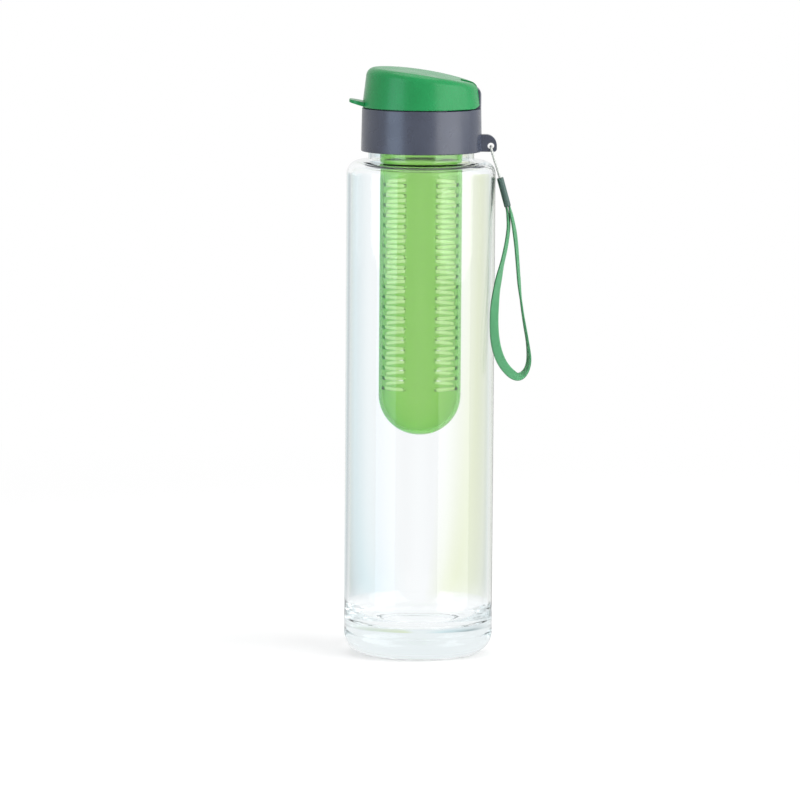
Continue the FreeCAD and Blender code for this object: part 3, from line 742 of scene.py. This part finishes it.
# Degrees to the right of straight behind, and the colour of the light that comes from there
BEHIND = [
    (-24.0, (0.44, 0.51, 0.53)),
    (-9.0, (0.76, 0.89, 0.92)),
    (-2.0, BRIGHT),
    (1.5, BRIGHT),
    (5.0, (0.84, 0.88, 0.65)),
    (17.0, (0.78, 0.82, 0.72)),
]
SIDE = [
    (42.0, PALE),
    (64.0, GREY),
    (88.0, PALE),
    (112.0, GREY),
    (135.0, PALE),
    (158.0, GREY),
    (180.0, PALE),
]
SECTORS = [(-degrees, colour) for degrees, colour in reversed(SIDE)] + BEHIND + SIDE


def sector_light(material, place):
    """The colour of the sector in the direction of a place around the bottle."""
    split = add_node(material, "ShaderNodeSeparateXYZ")
    connect(material, place, split.inputs["Vector"])
    azimuth = calculate(material, "ARCTAN2", split.outputs["X"], split.outputs["Y"])
    share = add_node(material, "ShaderNodeMapRange", From_Min=-math.pi, From_Max=math.pi)
    connect(material, azimuth, share.inputs["Value"])
    stops = [((degrees + 180.0) / 360.0, colour) for degrees, colour in SECTORS]
    return colour_ramp(material, share.outputs["Result"], stops)


print("stops around the bottle:", len(SECTORS))

# %% [markdown]
# ## The world
# The world fills the shadows with a low, even light. It could be one plain grey, but then the background
# would be grey too. The Light Path node tells apart what asks for the light: the camera gets white, clear
# plastic and gloss a bright studio, and everything else the low fill.

# %% The world
PLAIN_WHITE = 1.0
REFLECTED_LIGHT = 0.85
AMBIENT = 0.34
WHITE = (1.0, 1.0, 1.0, 1.0)
# A Mix node has sockets for every kind of value, and these are the places of the ones in use
MIX_SHARE = 0
MIX_NUMBERS = (2, 3)
MIX_COLOURS = (6, 7)
MIXED_COLOUR = 2


def blended(material, share, low, high):
    """A Mix node for numbers. Each value is a socket or a number."""
    node = add_node(material, "ShaderNodeMix")
    for place, value in zip((MIX_SHARE, *MIX_NUMBERS), (share, low, high)):
        fill_socket(material, node.inputs[place], value)
    return node.outputs["Result"]


def studio_world():
    world = bpy.data.worlds.new("studio")
    world.use_nodes = True
    path = add_node(world, "ShaderNodeLightPath")
    clear = blended(world, path.outputs["Is Transmission Ray"], REFLECTED_LIGHT, PLAIN_WHITE)
    seen = blended(world, path.outputs["Is Glossy Ray"], AMBIENT, clear)
    plain = blended(world, path.outputs["Is Camera Ray"], seen, PLAIN_WHITE)
    background = world.node_tree.nodes["Background"]
    background.inputs["Color"].default_value = WHITE
    connect(world, plain, background.inputs["Strength"])
    return world


scene.world = studio_world()
print("fill light of the world:", AMBIENT)

# %% [markdown]
# ## What the floor sends back
# Lit evenly, a pale floor would look grey at the horizon, so farther out it fades into an even white for
# the camera. Brighter lamps would whiten it too, but the bottle would then be too bright. Gloss and clear
# plastic see the floor bright from anywhere. Clear plastic sees the sectors on it as well, and they grow
# from nothing close to the bottle, where they would all meet in one point.

# %% What the floor sends back
SECTORS_START = 0.05
SECTORS_FULL = 0.28


def grows_with(material, distance, near, far):
    """From 0 at a near distance to 1 at a far one, with soft ends."""
    span = add_node(material, "ShaderNodeMapRange", interpolation_type="SMOOTHSTEP")
    span.inputs["From Min"].default_value = near
    span.inputs["From Max"].default_value = far
    connect(material, distance, span.inputs["Value"])
    return span.outputs["Result"]


def floor_glow(material, path, place, distance):
    """What the floor sends back to the camera from afar, and to gloss and clear plastic from anywhere."""
    through = path.outputs["Is Transmission Ray"]
    clear = blended(material, through, REFLECTED_LIGHT, PLAIN_WHITE)
    plain = blended(material, path.outputs["Is Camera Ray"], clear, PLAIN_WHITE)
    away = grows_with(material, distance, SECTORS_START, SECTORS_FULL)
    colour = add_node(material, "ShaderNodeMix", data_type="RGBA")
    connect(material, calculate(material, "MULTIPLY", through, away), colour.inputs[MIX_SHARE])
    colour.inputs[MIX_COLOURS[0]].default_value = WHITE
    connect(material, sector_light(material, place), colour.inputs[MIX_COLOURS[1]])
    glow = add_node(material, "ShaderNodeEmission")
    connect(material, plain, glow.inputs["Strength"])
    connect(material, colour.outputs[MIXED_COLOUR], glow.inputs["Color"])
    return glow.outputs["Emission"]


print("sectors show from", SECTORS_START, "m and are full at", SECTORS_FULL, "m")

# %% [markdown]
# ## The floor
# The floor is a plain pale sheet that takes the bottle's shadow. It could be a curved backdrop, as in a
# studio, but a flat sheet that fades out needs no bend behind the bottle. Close by, it is an ordinary
# matt surface with a little glow of its own for the camera, which keeps the shadow soft and light.

# %% The floor's finish
FLOOR_TONES = ((0.84, 0.84, 0.84), (0.86, 0.86, 0.86))
FLOOR_GLOW = 0.28
FADE_START = 0.3
FADE_END = 0.9


def pale_floor():
    material, shader = new_finish("pale_floor")
    vary_colour(material, shader, FLOOR_TONES, size_mm=900.0)
    shader.inputs["Roughness"].default_value = 0.7
    shader.inputs["Specular IOR Level"].default_value = 0.1
    shader.inputs["Emission Color"].default_value = WHITE
    path = add_node(material, "ShaderNodeLightPath")
    camera_ray = path.outputs["Is Camera Ray"]
    near_glow = calculate(material, "MULTIPLY", camera_ray, FLOOR_GLOW)
    connect(material, near_glow, shader.inputs["Emission Strength"])
    place = add_node(material, "ShaderNodeTexCoord").outputs["Object"]
    length = add_node(material, "ShaderNodeVectorMath", operation="LENGTH")
    connect(material, place, length.inputs[0])
    distance = length.outputs["Value"]
    faded = grows_with(material, distance, FADE_START, FADE_END)
    camera_far = calculate(material, "MULTIPLY", camera_ray, faded)
    share = calculate(material, "MAXIMUM", camera_far, path.outputs["Is Glossy Ray"])
    mixed = add_node(material, "ShaderNodeMixShader")
    glow = floor_glow(material, path, place, distance)
    for socket, source in zip(mixed.inputs, (share, shader.outputs["BSDF"], glow)):
        connect(material, source, socket)
    output = material.node_tree.nodes["Material Output"]
    connect(material, mixed.outputs["Shader"], output.inputs["Surface"])
    return material


# %% Laying the floor
FLOOR_HALF = 14.0
floor_bm = bmesh.new()
bmesh.ops.create_grid(floor_bm, x_segments=1, y_segments=1, size=FLOOR_HALF)
floor = finished_piece("studio_floor", floor_bm, pale_floor())

# %% [markdown]
# ## Soft boxes
# Two tall soft boxes stand either side of the camera and light the bottle evenly, and a third from above
# opens the top of the lid. Bare bulbs would leave hard shadows. A lamp's brightness is given here by how
# bright its face is, so that a box can change its size and still look the same. The two boxes beside the
# camera don't show in gloss, because the cards of the next step do.

# %% Soft boxes
def area_lamp(name, width, height, radiance):
    """A rectangular lamp with an evenly bright face, which the camera doesn't see."""
    data = bpy.data.lights.new(name, "AREA")
    data.shape = "RECTANGLE"
    data.size = width
    data.size_y = height
    data.energy = radiance * math.pi * width * height
    lamp = bpy.data.objects.new(name, data)
    lamp.visible_camera = False
    scene.collection.objects.link(lamp)
    print(name, "watts:", round(data.energy, 2))
    return lamp


def place_facing(lamp, azimuth, distance, rise, target):
    """Puts a lamp at an angle to the right of the camera, and turns its face to the target."""
    angle = math.radians(azimuth)
    place = Vector((math.sin(angle) * distance, -math.cos(angle) * distance, rise))
    facing = (place - target).to_track_quat("Z", "Y").to_matrix().to_4x4()
    lamp.matrix_world = Matrix.Translation(place) @ facing


key_box = area_lamp("key_box", width=2.2, height=2.2, radiance=2.3)
place_facing(key_box, azimuth=62.0, distance=1.6, rise=0.9, target=AIM)
fill_box = area_lamp("fill_box", width=0.9, height=2.0, radiance=2.0)
place_facing(fill_box, azimuth=-50.0, distance=1.6, rise=0.9, target=AIM)
top_box = area_lamp("top_box", width=1.2, height=1.2, radiance=1.8)
place_facing(top_box, azimuth=180.0, distance=0.3, rise=1.8, target=AIM)
for lamp in (key_box, fill_box):
    lamp.visible_glossy = False

# %% [markdown]
# ## Reflection cards
# A round bottle would squeeze the soft boxes into thin streaks, so narrow cards close to it are what its
# gloss shows instead. The right card leaves one broad upright highlight with a crisp left edge, a small
# one beside the cap carries it on round the lid, and the left card is a fainter, cooler fill. They light
# nothing else.

# %% Reflection cards
CARD_DISTANCE = 0.2
CARD_TOP = 0.42
COOL = (0.78, 1.0, 1.3)


def reflection_card(name, azimuth, spread, low, radiance):
    """An upright card beside the bottle, from a height up, that only shows as a reflection in it."""
    width = 2 * CARD_DISTANCE * math.tan(math.radians(spread / 2))
    middle = (low + CARD_TOP) / 2
    card = area_lamp(name, width, CARD_TOP - low, radiance)
    place_facing(card, azimuth, CARD_DISTANCE, middle, target=Vector((0.0, 0.0, middle)))
    card.visible_diffuse = False
    card.visible_transmission = False
    return card


reflection_card("key_card", azimuth=52.0, spread=50.0, low=0.0, radiance=2.3)
reflection_card("lid_card", azimuth=87.0, spread=20.0, low=0.267, radiance=1.5)
fill_card = reflection_card("fill_card", azimuth=-49.5, spread=31.0, low=0.0, radiance=1.7)
fill_card.data.color = COOL
